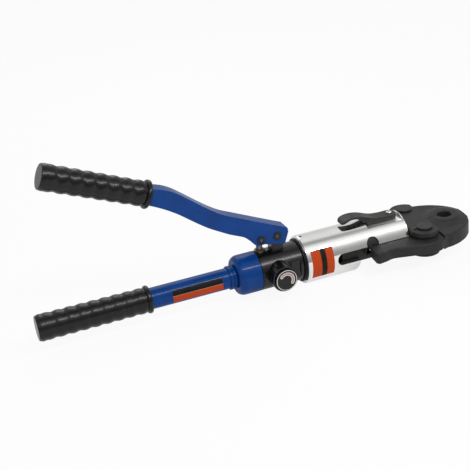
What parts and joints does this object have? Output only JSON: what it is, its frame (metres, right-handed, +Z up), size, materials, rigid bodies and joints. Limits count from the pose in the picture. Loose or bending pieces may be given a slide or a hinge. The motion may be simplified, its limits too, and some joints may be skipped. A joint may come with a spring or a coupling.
{
  "type": "hydraulic pipe press tool",
  "caption": "Hand-pumped hydraulic pipe press with a pump lever, a reservoir handle, a turning slotted head and a pair of pivoting jaws closed by a roller ram.",
  "frame": {"origin": "centre of the flat butt face of the lower grip, on the tool's axis", "axes": "+X along the tool's axis to the jaw tips, +Z up towards the pump lever, +Y away from the release knob"},
  "size_m": [0.4889, 0.107, 0.1951],
  "materials": {
    "grip_rubber": "satin, moulded with soft finger ribs",
    "bladder_rubber": "matte",
    "seal_rubber": "matte",
    "blue_paint": "gloss enamel",
    "blackened_steel": "black oxide, satin",
    "polished_steel": "polished",
    "ground_steel": "ground",
    "bronze": "turned",
    "cast_steel": "as cast",
    "bright_steel": "bright",
    "spring_steel": "drawn wire"
  },
  "bodies": {
    "press_body": {"lower_grip": "grip_rubber", "reservoir_tube": "blue_paint", "oil_bladder": "bladder_rubber", "tube_collar": "blue_paint", "reservoir_cap": "blue_paint", "pump_body": "blackened_steel", "body_ring": "seal_rubber", "plunger_gland": "bronze", "inlet_ball": "bright_steel", "release_ball": "bright_steel", "lever_pivot_pin": "ground_steel", "cylinder_cap": "ground_steel", "ram_return_spring": "spring_steel"},
    "release_knob": {"release_knob": "blackened_steel", "release_spindle": "ground_steel"},
    "pump_lever": {"lever_channel": "blue_paint", "upper_grip": "grip_rubber", "plunger_pin": "ground_steel"},
    "pump_plunger": {"pump_plunger": "ground_steel"},
    "press_head": {"head_sleeve": "polished_steel", "head_lock_screw": "blackened_steel"},
    "jaw_set": {"upper_link_plate": "blackened_steel", "lower_link_plate": "blackened_steel", "link_spacer": "ground_steel", "jaw_pin_front": "blackened_steel", "jaw_pin_rear": "blackened_steel", "pin_clip_front": "spring_steel", "pin_clip_rear": "spring_steel"},
    "ram_carriage": {"ram_piston": "ground_steel", "piston_seal": "seal_rubber", "ram_carriage": "cast_steel", "roller_pin_front": "ground_steel", "roller_pin_rear": "ground_steel"},
    "roller_front": {"roller_front": "ground_steel"},
    "roller_rear": {"roller_rear": "ground_steel"},
    "jaw_front": {"jaw_front": "blackened_steel"},
    "jaw_rear": {"jaw_rear": "blackened_steel"},
    "retaining_pin": {"retaining_pin": "ground_steel", "latch_screw": "bright_steel"},
    "latch_lever": {"latch_lever": "blackened_steel"}
  },
  "joints": [
    {"name": "lever_hinge", "type": "hinge", "parent": "press_body", "child": "pump_lever", "pos_m": [0.2619, 0, 0.0382], "axis": [0, 1, 0], "range_deg": [-24, 25]},
    {"name": "plunger_slide", "type": "slide", "parent": "press_body", "child": "pump_plunger", "axis": [0, 0, 1], "range_m": [-0.008, 0.0082]},
    {"name": "release_turn", "type": "hinge", "parent": "press_body", "child": "release_knob", "pos_m": [0.257, -0.038, 0], "axis": [0, -1, 0], "range_deg": [0, 180]},
    {"name": "head_swivel", "type": "hinge", "parent": "press_body", "child": "press_head", "pos_m": [0.287, 0, 0], "axis": [1, 0, 0], "continuous": true},
    {"name": "ram_slide", "type": "slide", "parent": "press_head", "child": "ram_carriage", "axis": [1, 0, 0], "range_m": [0, 0.02], "stiffness_N_per_m": 1000, "springref_m": -0.01},
    {"name": "roller_front_spin", "type": "hinge", "parent": "ram_carriage", "child": "roller_front", "pos_m": [0.353, -0.0115, 0], "axis": [0, 0, 1], "continuous": true},
    {"name": "roller_rear_spin", "type": "hinge", "parent": "ram_carriage", "child": "roller_rear", "pos_m": [0.353, 0.0115, 0], "axis": [0, 0, 1], "continuous": true},
    {"name": "jaw_set_turn", "type": "hinge", "parent": "press_head", "child": "jaw_set", "pos_m": [0.3987, 0, 0], "axis": [0, 0, 1], "range_deg": [0, 5]},
    {"name": "jaw_front_pivot", "type": "hinge", "parent": "jaw_set", "child": "jaw_front", "pos_m": [0.42609, -0.0289, 0], "axis": [0, 0, 1], "range_deg": [-11, 0], "stiffness_Nm_per_rad": 1, "springref_deg": 17.19},
    {"name": "jaw_rear_pivot", "type": "hinge", "parent": "jaw_set", "child": "jaw_rear", "pos_m": [0.43069, 0.0237, 0], "axis": [0, 0, -1], "range_deg": [-11, 0], "stiffness_Nm_per_rad": 1, "springref_deg": 17.19},
    {"name": "pin_lift", "type": "slide", "parent": "press_head", "child": "retaining_pin", "axis": [0, 0, 1], "range_m": [0, 0.03]},
    {"name": "latch_swing", "type": "hinge", "parent": "retaining_pin", "child": "latch_lever", "pos_m": [0.3987, 0, 0.0226], "axis": [0, 0, 1], "range_deg": [0, 90]}
  ],
  "couplings": [
    {"joint": "plunger_slide", "follows": "lever_hinge", "m_per_rad": 0.0178},
    {"joint": "jaw_set_turn", "follows": "ram_slide", "rad_per_m": 4.36}
  ]
}
